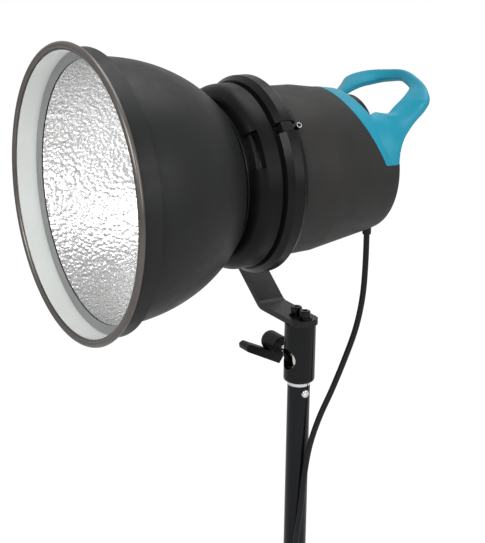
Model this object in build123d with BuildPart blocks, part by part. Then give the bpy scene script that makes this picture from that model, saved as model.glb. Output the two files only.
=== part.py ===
from build123d import *
from math import atan2, cos, degrees, hypot, radians, sin, sqrt, tan
import os

os.makedirs("parts", exist_ok=True)

# Studio flash head on the top section of its light stand.
# +Z is up, the lamp faces -Y, and the origin is the centre of the post's lower end.
# All sizes are in millimetres, and "rear" means towards +Y.

# ---------------------------------------------------------------- driving dimensions
axis_height = 470.0          # lamp axis above the post's lower end
rim_to_post = 201.0          # reflector's front rim to the post's axis
running = 0.05               # radial clearance of a shaft in its bore
seat_gap = 0.3               # space between two bodies that pass each other
skin = 2.5                   # wall of the moulded shells

# reflector
rim_radius = 113.0
bead_radius = 2.6
band_radius = 107.9
band_length = 17.5
sheet = 1.2
step_length = 1.5
bowl_radius = 100.4
bowl_depth = 118.5
bowl_end_radius = 66.0
neck_radius = 60.0
neck_length = 5.2
neck_bore = 51.0
lug_tube_radius = 56.0
lug_height = 3.2
lug_angle = 34.0
lug_thickness = 3.0

# front collar, ring band and body
collar_front = -85.6
collar_lip_radius = 62.4
collar_radius = 72.0
shoulder_length = 9.0
groove_front = -65.0
groove_depth = 2.6
collar_bore = 66.0
ring_front = -61.3
ring_rear = -43.4
ring_radius = 77.2
ring_edge_radius = 73.6
ring_chamfer = 4.6
ring_bore = 69.2
release_angle = 40.3         # where the release pad sits round the ring band
shell_front = -60.9
shell_radius = 67.6
waist_y = -10.0
waist_radius = 66.2
seam_y = 46.0
seam_radius = 57.2
rear_y = 54.6
rear_radius = 55.4
rear_round = 3.0

# slanted rear: the seam of the blue handle piece and the control panel behind it
slant_top_z = 64.0
slant_top_y = 13.0
slant_run = 0.46             # run towards the rear for each millimetre of drop
trim_length = 14.0           # handle piece's width along the body
trim_bottom_z = 8.0
panel_sink = 3.0
panel_thickness = 3.0

# yoke and stand fittings
arm_width = 24.0
arm_thickness = 5.0
plate_top_z = -126.0
plate_end_x = 13.5
arm_bend_x = -45.0
arm_inner_x = -84.0
arm_slope = 36.0
arm_bend_radius = 12.0
pivot_bore = 4.1
socket_radius = 13.0
spigot_radius = 8.0
socket_bottom_z = -181.5
socket_roof = 6.0
window_radius = 8.8
clamp_z = -161.0
clamp_screw_radius = 4.0
screw_spread = 6.4
screw_shank_radius = 2.5
post_radius = 9.5
post_wall = 1.5
post_top_z = -184.6
shoulder_height = 2.4
foot_length = 36.0           # how far the post enters the next section
foot_groove = 0.4

# dial on the slanted panel
dial_up = 28.0
dial_radius = 18.5
dial_height = 14.5
dial_round = 5.0
dial_gap = 0.8
shaft_radius = 3.0

# controls on the rear cover, at (x, z) from the lamp axis
button_radius = 4.5
button_travel = 1.5
button_places = {"test_button": (12, -11), "slave_button": (26, -11), "sound_button": (40, -9)}
model_dial_place = (-24, -14)
model_dial_radius = 11.0
socket_place = (-10, -38)
fuse_place = (-30, -34)
rocker_place = (16, -34)
rocker_size = (21.0, 13.0)
bezel_size = (26.0, 17.0)
lamp_place = (-4, -8)
sync_radius = 1.8
sync_depth = 12.0
gland_x = 18.0
gland_y = 50.2
gland_radius = 3.6

# power cord
cord_radius = 2.5
coil_radius = 29.0
coil_section = 16.0
coil_drop = 392.0

# ---------------------------------------------------------------- planes and helpers
lamp_side = Plane(origin=(0, 0, axis_height), x_dir=(0, 1, 0), z_dir=(1, 0, 0))
lamp_front = Plane(origin=(0, 0, axis_height), x_dir=(1, 0, 0), z_dir=(0, -1, 0))
lamp_axis = Axis((0, 0, axis_height), (0, 1, 0))
inner_y = rear_y - skin       # inner face of the rear cover


def front_plane(y):
    """Plane across the lamp axis at y, facing the front, with its x along +X."""
    return Plane(origin=(0, y, axis_height), x_dir=(1, 0, 0), z_dir=(0, -1, 0))


def rear_plane(y):
    """Plane across the lamp axis at y, facing the rear, with its x along -X."""
    return Plane(origin=(0, y, axis_height), x_dir=(-1, 0, 0), z_dir=(0, 1, 0))


def level_plane(z, x=0.0, y=0.0):
    """Level plane at height z from the lamp axis."""
    return Plane(origin=(x, y, axis_height + z))


def side_plane(x, y=0.0, z=0.0):
    """Plane facing -X at x, with its x along +Y."""
    return Plane(origin=(x, y, axis_height + z), x_dir=(0, -1, 0), z_dir=(-1, 0, 0))


def slant_y(z, offset=0.0):
    """Where the slanted seam, moved back by offset, meets height z from the lamp axis."""
    return slant_top_y + slant_run * (slant_top_z - z) + offset


def shell_radius_at(y):
    """Outer radius of the body at y."""
    stations = [(shell_front, shell_radius), (waist_y, waist_radius),
                (seam_y, seam_radius), (rear_y, rear_radius)]
    for (y0, r0), (y1, r1) in zip(stations, stations[1:]):
        if y <= y1:
            return r0 + (r1 - r0) * (y - y0) / (y1 - y0)
    return rear_radius


slant_angle = degrees(atan2(slant_run, 1.0))
panel_normal = (0, cos(radians(slant_angle)), sin(radians(slant_angle)))
panel_offset = trim_length - panel_sink


def panel_plane(across, up, lift=0.0):
    """Plane on the control panel's face, at across along +X and up along its slope."""
    up_y = -sin(radians(slant_angle))
    up_z = cos(radians(slant_angle))
    base_z = trim_bottom_z
    base_y = slant_y(base_z, panel_offset)
    y = base_y + up * up_y + lift * panel_normal[1]
    z = base_z + up * up_z + lift * panel_normal[2]
    return Plane(origin=(across, y, axis_height + z), x_dir=(-1, 0, 0), z_dir=panel_normal)


def save(builder, name):
    builder.part.label = name
    export_step(builder.part, f"parts/{name}.step")


# ---------------------------------------------------------------- stand's top section
with BuildPart() as stand_tube:
    with BuildSketch(Plane.XY):
        Circle(post_radius)
        Circle(post_radius - post_wall, mode=Mode.SUBTRACT)
    extrude(amount=axis_height + post_top_z)
    with Locations(Plane(origin=(post_radius, 0, axis_height + post_top_z - 6), z_dir=(1, 0, 0))):
        Hole(2.1, depth=post_wall + 1)
    # ring groove that marks how far the post enters the next section
    with BuildSketch(Plane.XY.offset(foot_length)):
        Circle(post_radius + 1)
        Circle(post_radius - foot_groove, mode=Mode.SUBTRACT)
    extrude(amount=1.2, mode=Mode.SUBTRACT)
save(stand_tube, "stand_tube")

spigot_waist_radius = 6.6
spigot_insert = 24.0
with BuildPart() as stand_spigot:
    with BuildSketch(level_plane(post_top_z)):
        Circle(post_radius)
    extrude(amount=shoulder_height)
    with BuildSketch(level_plane(post_top_z - spigot_insert)):
        Circle(post_radius - post_wall - running)
    extrude(amount=spigot_insert)
    with BuildSketch(level_plane(post_top_z + shoulder_height)):
        Circle(spigot_radius)
    spigot_top_z = plate_top_z - arm_thickness - socket_roof - 2.0
    extrude(amount=spigot_top_z - post_top_z - shoulder_height)
    chamfer(faces().sort_by(Axis.Z)[-1].edges(), 1.2)
    with BuildSketch(level_plane(clamp_z - 8.5)):
        Circle(spigot_radius + 1)
        Circle(spigot_waist_radius, mode=Mode.SUBTRACT)
    extrude(amount=17, mode=Mode.SUBTRACT)
    with Locations(Plane(origin=(post_radius, 0, axis_height + post_top_z - 6), z_dir=(1, 0, 0))):
        Hole(2.1, depth=8)
save(stand_spigot, "stand_spigot")

with BuildPart() as spigot_screw:
    with BuildSketch(Plane(origin=(post_radius + 0.1, 0, axis_height + post_top_z - 6), z_dir=(1, 0, 0))):
        Circle(3.4)
    extrude(amount=1.9)
    fillet(faces().sort_by(Axis.X)[-1].edges(), 1.2)
    with BuildSketch(Plane(origin=(post_radius + 0.1, 0, axis_height + post_top_z - 6), z_dir=(-1, 0, 0))):
        Circle(2.0)
    extrude(amount=7)
    with BuildSketch(Plane(origin=(post_radius + 2.1, 0, axis_height + post_top_z - 6), z_dir=(-1, 0, 0))):
        Rectangle(3.6, 0.8)
        Rectangle(0.8, 3.6)
    extrude(amount=1.2, mode=Mode.SUBTRACT)
save(spigot_screw, "spigot_screw")

with BuildPart() as tube_end_plug:
    with BuildSketch(Plane.XY.offset(0.4)):
        Circle(post_radius - post_wall - running)
    extrude(amount=14)
    with BuildSketch(Plane.XY.offset(0.4)):
        Circle(4.0)
    extrude(amount=11, mode=Mode.SUBTRACT)
    chamfer(faces().sort_by(Axis.Z)[-1].edges(), 0.8)
save(tube_end_plug, "tube_end_plug")

# ---------------------------------------------------------------- yoke
plate_bottom_z = plate_top_z - arm_thickness
arm_outer_x = arm_inner_x - arm_thickness
bend_low = (arm_bend_x, plate_bottom_z + arm_thickness / 2)
rise = (arm_bend_x - arm_inner_x + arm_thickness / 2) * tan(radians(arm_slope))
bend_high = (arm_inner_x - arm_thickness / 2, bend_low[1] + rise)
arm_plane = Plane(origin=(0, 0, axis_height), x_dir=(1, 0, 0), z_dir=(0, -1, 0))

with BuildPart() as yoke_arm:
    with BuildSketch(arm_plane):
        with BuildLine():
            FilletPolyline((plate_end_x, bend_low[1]), bend_low, bend_high, (bend_high[0], arm_width / 2),
                           radius=arm_bend_radius)
        trace(line_width=arm_thickness)
    extrude(amount=arm_width / 2, both=True)
    # rounded corners at the plate's free end and a full round at the pivot
    fillet(edges().filter_by(Axis.Z).sort_by(Axis.X)[-2:], 8.0)
    fillet(edges().filter_by(Axis.X).sort_by(Axis.Z)[-2:], arm_width / 2 - 0.5)
    with Locations(side_plane(arm_outer_x)):
        Hole(pivot_bore, depth=arm_thickness + 1)
    with Locations(level_plane(plate_top_z)):
        with Locations((-screw_spread, 0), (screw_spread, 0)):
            Hole(screw_shank_radius + 0.3, depth=arm_thickness + 1)
save(yoke_arm, "yoke_arm")

with BuildPart() as stand_socket:
    with BuildSketch(level_plane(socket_bottom_z)):
        Circle(socket_radius)
    extrude(amount=plate_bottom_z - socket_bottom_z)
    fillet(faces().sort_by(Axis.Z)[0].edges(), 2.6)
    with BuildSketch(level_plane(socket_bottom_z)):
        Circle(spigot_radius + running)
    extrude(amount=plate_bottom_z - socket_roof - socket_bottom_z, mode=Mode.SUBTRACT)
    # window through the front wall, where the spigot shows
    with BuildSketch(Plane(origin=(0, 0, axis_height + clamp_z), z_dir=(0, -1, 0))):
        Circle(window_radius)
    extrude(amount=socket_radius + 1, mode=Mode.SUBTRACT)
    # flat boss for the clamp screw on the far side
    with BuildSketch(side_plane(-spigot_radius - 2.0, z=clamp_z)):
        Circle(7.0)
    extrude(amount=socket_radius - spigot_radius)
    with BuildSketch(side_plane(0, z=clamp_z)):
        Circle(clamp_screw_radius + running)
    extrude(amount=socket_radius + 6, mode=Mode.SUBTRACT)
    with Locations(level_plane(plate_bottom_z)):
        with Locations((-screw_spread, 0), (screw_spread, 0)):
            Hole(screw_shank_radius, depth=socket_roof + 1)
save(stand_socket, "stand_socket")

screw_head_height = 5.4
washer_height = 1.6
with BuildPart() as socket_screws:
    with BuildSketch(level_plane(plate_top_z + washer_height)):
        with Locations((-screw_spread, 0), (screw_spread, 0)):
            Circle(4.6)
    extrude(amount=screw_head_height)
    chamfer(faces().filter_by(Axis.Z).group_by(Axis.Z)[-1].edges(), 0.7)
    with BuildSketch(level_plane(plate_bottom_z - socket_roof + 0.5)):
        with Locations((-screw_spread, 0), (screw_spread, 0)):
            Circle(screw_shank_radius - running)
    extrude(amount=socket_roof + arm_thickness + washer_height)
    with BuildSketch(level_plane(plate_top_z + washer_height + screw_head_height)):
        with Locations((-screw_spread, 0), (screw_spread, 0)):
            RegularPolygon(2.3, 6)
    extrude(amount=-3, mode=Mode.SUBTRACT)
save(socket_screws, "socket_screws")

with BuildPart() as socket_washers:
    with BuildSketch(level_plane(plate_top_z)):
        with Locations((-screw_spread, 0), (screw_spread, 0)):
            Circle(6.0)
            Circle(screw_shank_radius + 0.2, mode=Mode.SUBTRACT)
    extrude(amount=washer_height)
save(socket_washers, "socket_washers")

# ---------------------------------------------------------------- clamp on the socket
boss_x = -(socket_radius + 2.0)
screw_tip_x = -11.0
with BuildPart() as clamp_pad:
    pad_tip_x = -(spigot_waist_radius + running)
    with BuildSketch(side_plane(pad_tip_x, z=clamp_z)):
        Circle(clamp_screw_radius - 0.2)
    extrude(amount=pad_tip_x - screw_tip_x)
    chamfer(faces().sort_by(Axis.X)[-1].edges(), 0.6)
save(clamp_pad, "clamp_pad")

knob_x = -28.0
knob_length = 21.0
knob_hub_radius = 8.4
with BuildPart() as clamp_screw:
    with BuildSketch(side_plane(screw_tip_x, z=clamp_z)):
        Circle(clamp_screw_radius)
    extrude(amount=screw_tip_x - knob_x)
    chamfer(faces().sort_by(Axis.X)[-1].edges(), 0.6)
save(clamp_screw, "clamp_screw")

lever_x = knob_x - 10.0
lever_width = 13.0
with BuildPart() as clamp_knob:
    with BuildSketch(side_plane(knob_x, z=clamp_z)):
        Circle(knob_hub_radius)
    extrude(amount=knob_length)
    fillet(faces().sort_by(Axis.X)[0].edges(), 2.2)
    # flat lever, tangent to the hub's underside and rising to the front
    with BuildSketch(side_plane(lever_x, z=clamp_z)):
        with BuildLine():
            Polyline((-9.0, -12.5), (-4.5, -19.5), (27.5, -3.6), (28.3, 0.6), (24.5, 2.6), (4, -7.0), close=True)
        make_face()
    extrude(amount=lever_width)
    fillet(edges().filter_by(Axis.X).sort_by(Axis.Y)[:3], 1.6)
save(clamp_knob, "clamp_knob")

# ---------------------------------------------------------------- tilt pivot
disc_thickness = 3.0
boss_face_x = arm_inner_x + disc_thickness + seat_gap
with BuildPart() as friction_disc:
    with BuildSketch(side_plane(arm_inner_x + disc_thickness)):
        Circle(15.0)
        Circle(pivot_bore + 0.4, mode=Mode.SUBTRACT)
    extrude(amount=disc_thickness)
save(friction_disc, "friction_disc")

with BuildPart() as tilt_boss:
    # turned down from the flange on the shell to the face that meets the disc
    with BuildSketch(side_plane(-waist_radius + 4.5)):
        Circle(24)
    extrude(amount=7.0)
    with BuildSketch(side_plane(boss_face_x)):
        Circle(16)
    extrude(amount=boss_face_x + waist_radius - 1.0)
    with BuildSketch(lamp_side):
        with BuildLine():
            Polyline((-40, shell_radius_at(-40)), (waist_y, waist_radius), (40, shell_radius_at(40)),
                     (40, 0), (-40, 0), close=True)
        make_face()
    revolve(axis=lamp_axis, mode=Mode.SUBTRACT)
    with BuildSketch(side_plane(boss_face_x + 14)):
        Circle(pivot_bore)
    extrude(amount=16, mode=Mode.SUBTRACT)
save(tilt_boss, "tilt_boss")

bolt_radius = pivot_bore - running
with BuildPart() as tilt_bolt:
    # threaded stud fixed in the knob, through the arm and the disc into the boss
    with BuildSketch(side_plane(boss_face_x + 12)):
        Circle(bolt_radius)
    extrude(amount=boss_face_x + 12 - arm_outer_x + 6)
save(tilt_bolt, "tilt_bolt")

tilt_knob_x = arm_outer_x - seat_gap
with BuildPart() as tilt_knob:
    with BuildSketch(side_plane(tilt_knob_x)):
        Circle(11)
    extrude(amount=5)
    with BuildSketch(side_plane(tilt_knob_x - 5)):
        Circle(19)
        with PolarLocations(21.5, 6):
            Circle(6.5, mode=Mode.SUBTRACT)
        fillet(vertices(), 2.0)
    extrude(amount=15)
    fillet(faces().sort_by(Axis.X)[0].edges(), 1.8)
    with BuildSketch(side_plane(tilt_knob_x)):
        Circle(bolt_radius)
    extrude(amount=5.7, mode=Mode.SUBTRACT)
save(tilt_knob, "tilt_knob")

# ---------------------------------------------------------------- reflector
rim_y = -rim_to_post
bowl_y = rim_y + band_length + step_length


def bowl_arc(depth, across, end_radius, count=6):
    """Points along a bowl's quarter ellipse, from its widest place to the given radius."""
    end = atan2(end_radius / across, sqrt(1 - (end_radius / across) ** 2))
    angles = [radians(90) + (end - radians(90)) * step / count for step in range(count + 1)]
    return [(bowl_y + depth * cos(angle), across * sin(angle)) for angle in angles]


outer_bowl = bowl_arc(bowl_depth, bowl_radius, bowl_end_radius)
bowl_end_y = outer_bowl[-1][0]
inner_bowl = bowl_arc(bowl_depth - sheet, bowl_radius - sheet, bowl_end_radius - sheet)
inner_bowl = [(min(y, bowl_end_y), r) for y, r in inner_bowl]
neck_front = bowl_end_y + sheet
neck_rear = neck_front + neck_length
with BuildPart() as reflector_shell:
    with BuildSketch(lamp_side):
        with BuildLine():
            Line((rim_y, band_radius), (bowl_y - step_length, band_radius))
            Line((bowl_y - step_length, band_radius), (bowl_y, bowl_radius))
            Spline(*outer_bowl, tangents=[(1, 0), (outer_bowl[-1][0] - outer_bowl[-2][0],
                                                   outer_bowl[-1][1] - outer_bowl[-2][1])])
            Polyline((bowl_end_y, bowl_end_radius), (neck_front, bowl_end_radius - sheet), (neck_front, neck_bore),
                     (inner_bowl[-1][0], neck_bore), inner_bowl[-1])
            Spline(*reversed(inner_bowl), tangents=[(inner_bowl[-2][0] - inner_bowl[-1][0],
                                                     inner_bowl[-2][1] - inner_bowl[-1][1]), (-1, 0)])
            Line((bowl_y, bowl_radius - sheet), (bowl_y - step_length - sheet, band_radius - sheet))
            Line((bowl_y - step_length - sheet, band_radius - sheet), (rim_y, band_radius - sheet))
            Line((rim_y, band_radius - sheet), (rim_y, band_radius))
        make_face()
        # rolled bead round the mouth, on a web turned out from the band
        with Locations((rim_y, rim_radius - bead_radius)):
            Circle(bead_radius)
        with Locations((rim_y + sheet / 2, (band_radius - sheet + rim_radius - bead_radius) / 2)):
            Rectangle(sheet, rim_radius - bead_radius - band_radius + sheet)
    revolve(axis=lamp_axis)
save(reflector_shell, "reflector_shell")

with BuildPart() as reflector_neck_ring:
    # outer flange seen behind the bowl, and the tube with lugs that enters the lamp's mount
    lug_y = neck_rear + 8.0
    with BuildSketch(lamp_side):
        with BuildLine():
            Polyline((neck_front, neck_bore + 1), (neck_front, neck_radius - 1.5), (neck_rear - 1, neck_radius - 1.5),
                     (neck_rear - 1, neck_radius), (neck_rear, neck_radius), (neck_rear, lug_tube_radius),
                     (lug_y + lug_thickness, lug_tube_radius), (lug_y + lug_thickness, neck_bore + 1), close=True)
        make_face()
    revolve(axis=lamp_axis)
    with BuildSketch(rear_plane(lug_y)):
        Circle(lug_tube_radius + lug_height)
        Circle(lug_tube_radius - 1, mode=Mode.SUBTRACT)
        with BuildSketch(mode=Mode.INTERSECT):
            with PolarLocations(0, 3, start_angle=90):
                with BuildLine():
                    lug_spread = 70 * tan(radians(lug_angle / 2))
                    Polyline((0, 0), (70, -lug_spread), (70, lug_spread), close=True)
                make_face()
    extrude(amount=lug_thickness)
save(reflector_neck_ring, "reflector_neck_ring")

rivet_circle = (bowl_end_radius - sheet + neck_bore) / 2
with BuildPart() as reflector_rivets:
    # heads inside the bowl, shanks through the back wall into the neck ring
    with BuildSketch(front_plane(inner_bowl[-1][0])):
        with PolarLocations(rivet_circle - 1.8, 6, start_angle=15):
            Circle(2.6)
    extrude(amount=1.2)
    fillet(faces().filter_by(Axis.Y).group_by(Axis.Y)[0].edges(), 0.8)
save(reflector_rivets, "reflector_rivets")

# ---------------------------------------------------------------- front collar and ring band
notch_angle = 30.0
notch_spread = 24.0
notch_depth = 8.4
with BuildPart() as front_collar:
    with BuildSketch(lamp_side):
        with BuildLine():
            outer_start = (collar_front, collar_lip_radius)
            shoulder_end = (collar_front + shoulder_length + 2.5, collar_radius)
            Line((collar_front + 2.2, collar_lip_radius), outer_start)
            Spline(outer_start, (collar_front + 3.4, collar_radius - 3.2), shoulder_end,
                   tangents=[(0.25, 1), (1, 0.06)])
            Polyline(shoulder_end, (groove_front, collar_radius), (groove_front, collar_radius - groove_depth),
                     (ring_front, collar_radius - groove_depth), (ring_front, collar_bore),
                     (collar_front + 8, collar_bore),
                     (collar_front + 2.2, collar_lip_radius + 2.0),
                     (collar_front + 2.2, collar_lip_radius))
        make_face()
    revolve(axis=lamp_axis)
    # window in the front edge
    with BuildSketch(front_plane(collar_front + notch_depth)):
        with BuildLine():
            far = collar_radius + 20
            near_edge = notch_angle - notch_spread / 2
            far_edge = notch_angle + notch_spread / 2
            Polyline((0, 0), (far * cos(radians(near_edge)), far * sin(radians(near_edge))),
                     (far * cos(radians(far_edge)), far * sin(radians(far_edge))), close=True)
        make_face()
        Circle(collar_lip_radius - 4, mode=Mode.SUBTRACT)
    extrude(amount=notch_depth + 5, mode=Mode.SUBTRACT)
save(front_collar, "front_collar")

gap_width = 8.6
ring_gap_pad = gap_width - 0.8
with BuildPart() as ring_band:
    with BuildSketch(lamp_side):
        with BuildLine():
            Polyline((ring_front, ring_bore), (ring_front, ring_edge_radius),
                     (ring_front + ring_chamfer, ring_radius), (ring_rear - 5.2, ring_radius),
                     (ring_rear, ring_edge_radius - 0.6), (ring_rear, ring_bore), close=True)
        make_face()
    revolve(axis=lamp_axis)
    with BuildSketch(front_plane(ring_rear)):
        with Locations(Location((0, 0), release_angle)):
            with Locations((ring_radius, 0)):
                Rectangle(24, gap_width)
    extrude(amount=ring_rear - ring_front, mode=Mode.SUBTRACT)
save(ring_band, "ring_band")

# ---------------------------------------------------------------- mount plate and lamp
mount_y = neck_rear + 8.0 + lug_thickness + 1.2
mount_thickness = 2.5
plate_bore = 46.0
release_pin_circle = 62.2
release_pin_radius = 1.5
with BuildPart() as mount_plate:
    with BuildSketch(front_plane(mount_y + mount_thickness)):
        Circle(collar_bore - running)
        Circle(plate_bore, mode=Mode.SUBTRACT)
        with PolarLocations(56, 6):
            Circle(1.6, mode=Mode.SUBTRACT)
        with PolarLocations(release_pin_circle, 1, start_angle=release_angle):
            Circle(release_pin_radius + running, mode=Mode.SUBTRACT)
    extrude(amount=mount_thickness)
save(mount_plate, "mount_plate")

# ---------------------------------------------------------------- body shell, rear cover and handle
trim_wall = 3.0
slot_length = 13.0
slot_width = 4.6
slot_y = -53.0
release_out = (cos(radians(release_angle)), 0, sin(radians(release_angle)))
release_plane = Plane(origin=(0, slot_y, axis_height), x_dir=(0, 1, 0), z_dir=release_out)


def shell_profile(outer_offset, y_start, y_end, wall):
    """Profile of the body's wall between two stations, drawn on lamp_side."""
    outside = [(y, shell_radius_at(y) + outer_offset) for y in (y_start, waist_y, seam_y, y_end)
               if y_start <= y <= y_end]
    outside = sorted(set(outside))
    inside = [(y, r - wall) for y, r in reversed(outside)]
    return outside + inside


with BuildPart() as body_shell:
    with BuildSketch(lamp_side):
        with BuildLine():
            Polyline(*shell_profile(0, shell_front, seam_y, skin), close=True)
        make_face()
    revolve(axis=lamp_axis)
    # cut back along the slant for the handle piece
    with BuildSketch(lamp_side):
        with BuildLine():
            Polyline((slant_y(90), 90), (slant_y(trim_bottom_z), trim_bottom_z), (90, trim_bottom_z),
                     (90, 90), close=True)
        make_face()
    extrude(amount=100, both=True, mode=Mode.SUBTRACT)
    # row of small vent holes just behind the ring band, on both sides
    vent_y = ring_rear + 1.6
    vent_angles = [4 + 4.7 * count for count in range(7)]
    for angle in vent_angles + [180 - angle for angle in vent_angles]:
        direction = (cos(radians(angle)), 0, sin(radians(angle)))
        with BuildSketch(Plane(origin=(0, vent_y, axis_height), z_dir=direction)):
            Circle(0.8)
        extrude(amount=shell_radius + 2, mode=Mode.SUBTRACT)
    # slot under the release pad
    with BuildSketch(release_plane):
        with Locations((0, 0)):
            Rectangle(slot_length, slot_width)
    extrude(amount=shell_radius + 2, mode=Mode.SUBTRACT)
save(body_shell, "body_shell")

cover_lap = 4.0
cover_fit = 0.1
with BuildPart() as rear_cover:
    with BuildSketch(lamp_side):
        with BuildLine():
            lap_radius = shell_radius_at(seam_y) - skin - cover_fit
            wall_radius = rear_radius - skin
            outer_end = (rear_y - rear_round, rear_radius + 0.5)
            corner_end = (rear_y, rear_radius - rear_round)
            Line((seam_y, seam_radius), outer_end)
            TangentArc(outer_end, corner_end, tangent=(1, -0.2))
            Polyline(corner_end, (rear_y, 0), (rear_y - skin, 0), (rear_y - skin, wall_radius),
                     (seam_y - cover_lap, lap_radius - skin), (seam_y - cover_lap, lap_radius),
                     (seam_y, lap_radius), (seam_y, seam_radius))
        make_face()
    revolve(axis=lamp_axis)
    # open above the panel's foot, where the handle piece and the panel take over
    with BuildSketch(lamp_side):
        with Locations((rear_y - 20, trim_bottom_z + 50)):
            Rectangle(80, 100)
    extrude(amount=100, both=True, mode=Mode.SUBTRACT)
    # ledge under the panel
    with BuildSketch(level_plane(trim_bottom_z - skin)):
        with Locations((0, rear_y - skin - 2.5)):
            Rectangle(2 * (rear_radius - 4), 5.5)
    extrude(amount=skin)
    with BuildSketch(rear_plane(rear_y + 1)):
        for x, z in button_places.values():
            with Locations((-x, z)):
                Circle(button_radius + running)
        with Locations((-model_dial_place[0], model_dial_place[1])):
            Circle(shaft_radius + running)
        with Locations((-socket_place[0], socket_place[1])):
            Circle(4.0)
        with Locations((-fuse_place[0], fuse_place[1])):
            Circle(6.0)
        with Locations((-rocker_place[0], rocker_place[1])):
            Rectangle(bezel_size[0] - 3, bezel_size[1] - 3)
        with Locations((-lamp_place[0], lamp_place[1])):
            Circle(2.5)
    extrude(amount=-skin - 2, mode=Mode.SUBTRACT)
    with BuildSketch(level_plane(-rear_radius - 4, gland_x, gland_y)):
        Circle(gland_radius)
    extrude(amount=14, mode=Mode.SUBTRACT)
save(rear_cover, "rear_cover")

# handle piece: a band along the slanted seam, a cheek at each side, and the hoop between them
cheek_outer = 57.6
cheek_inner = 46.0
hoop_depth = 9.5
hoop_thickness = 8.0
hoop_side = [(51.4, 49.6, 22), (51.8, 52, 34), (50.4, 59.5, 45.5), (44.5, 71, 56), (34, 80.5, 62.4), (18, 87.4, 65.9)]
hoop_top = (0, 89.4, 66.8)
with BuildPart() as handle:
    with BuildSketch(lamp_front):
        for side in (-1, 1):
            with Locations((side * (cheek_inner / 2 + cheek_outer / 2), (trim_bottom_z + 46) / 2)):
                Rectangle(cheek_outer - cheek_inner, 46 - trim_bottom_z)
    extrude(amount=120, both=True)
    with BuildSketch(lamp_side):
        with BuildLine():
            Polyline((slant_y(trim_bottom_z), trim_bottom_z), (41.5, 20), (45, 32), (50, 43.5), (54, 45.5),
                     (60.5, 38.5), (57.5, 31), (55.2, 20), (slant_y(trim_bottom_z, trim_length), trim_bottom_z),
                     close=True)
        make_face()
    extrude(amount=120, both=True, mode=Mode.INTERSECT)
    fillet(edges().filter_by(GeomType.LINE).group_by(Axis.Z)[-1], 2.0)
    with BuildSketch(lamp_side):
        with BuildLine():
            Polyline(*shell_profile(0, -30.0, rear_y, trim_wall), close=True)
        make_face()
    band = revolve(axis=lamp_axis, mode=Mode.PRIVATE)
    with BuildSketch(lamp_side, mode=Mode.PRIVATE) as core_side:
        with BuildLine():
            core_edge = [(y, shell_radius_at(y) - trim_wall) for y in (-30.0, waist_y, seam_y, rear_y + 6)]
            Polyline(*core_edge, (rear_y + 6, 0), (-30, 0), close=True)
        make_face()
    revolve(core_side.sketch, axis=lamp_axis, mode=Mode.SUBTRACT)
    with BuildSketch(lamp_side, mode=Mode.PRIVATE) as band_side:
        with BuildLine():
            Polyline((slant_y(trim_bottom_z), trim_bottom_z), (slant_y(trim_bottom_z, trim_length), trim_bottom_z),
                     (slant_y(90, trim_length), 90), (slant_y(90), 90), close=True)
        make_face()
    band_cut = extrude(band_side.sketch, amount=100, both=True, mode=Mode.PRIVATE)
    add(band & band_cut)
    with BuildLine(Plane.XY) as hoop_path:
        right = [(x, y, axis_height + z) for x, y, z in hoop_side]
        left = [(-x, y, z) for x, y, z in right]
        Spline(*left, (hoop_top[0], hoop_top[1], axis_height + hoop_top[2]), *reversed(right))
    with BuildSketch(Plane(origin=left[0], x_dir=(1, 0, 0), z_dir=hoop_path.line % 0)):
        RectangleRounded(hoop_thickness, hoop_depth, 2.6)
    sweep(path=hoop_path.line)
save(handle, "handle")

with BuildPart() as control_panel:
    with BuildSketch(lamp_side):
        with BuildLine():
            inner_edge = [(y, r) for y, r in shell_profile(-trim_wall - cover_fit, -30.0, rear_y, 0)]
            Polyline(*inner_edge[:len(inner_edge) // 2], (rear_y, 0), (-30, 0), close=True)
        make_face()
    revolve(axis=lamp_axis)
    with BuildSketch(lamp_side):
        with BuildLine():
            Polyline((slant_y(trim_bottom_z, panel_offset - panel_thickness), trim_bottom_z),
                     (slant_y(trim_bottom_z, panel_offset), trim_bottom_z),
                     (slant_y(90, panel_offset), 90), (slant_y(90, panel_offset - panel_thickness), 90), close=True)
        make_face()
    extrude(amount=100, both=True, mode=Mode.INTERSECT)
    with BuildSketch(panel_plane(0, dial_up, 1)):
        Circle(shaft_radius + running)
    extrude(amount=-panel_thickness - 2, mode=Mode.SUBTRACT)
save(control_panel, "control_panel")

# ---------------------------------------------------------------- controls on the slanted panel
with BuildPart() as power_dial:
    with BuildSketch(panel_plane(0, dial_up, dial_gap)):
        Circle(dial_radius)
    extrude(amount=dial_height, taper=3)
    fillet(faces().sort_by(Axis(panel_plane(0, dial_up).origin, panel_normal))[-1].edges(), dial_round)
    with BuildSketch(panel_plane(0, dial_up, -9.0)):
        Circle(shaft_radius)
    extrude(amount=9.0 + dial_gap)
    with BuildSketch(panel_plane(0, dial_up + 7, dial_gap + dial_height)):
        SlotOverall(9, 1.8, rotation=90)
    extrude(amount=-0.8, mode=Mode.SUBTRACT)
save(power_dial, "power_dial")

pot_length = 11.0
with BuildPart() as power_pot:
    with BuildSketch(panel_plane(0, dial_up, -panel_thickness - pot_length)):
        Circle(12)
    extrude(amount=pot_length)
    with BuildSketch(panel_plane(0, dial_up, -panel_thickness)):
        Circle(shaft_radius + running)
    extrude(amount=-(9.0 - panel_thickness) - 0.4, mode=Mode.SUBTRACT)
save(power_pot, "power_pot")

with BuildPart() as dial_scale:
    with BuildSketch(panel_plane(0, dial_up)):
        with PolarLocations(dial_radius + 2.0, 11, start_angle=-60, angular_range=300):
            Rectangle(2.4, 0.8)
    extrude(amount=0.3)
save(dial_scale, "dial_scale")

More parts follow.
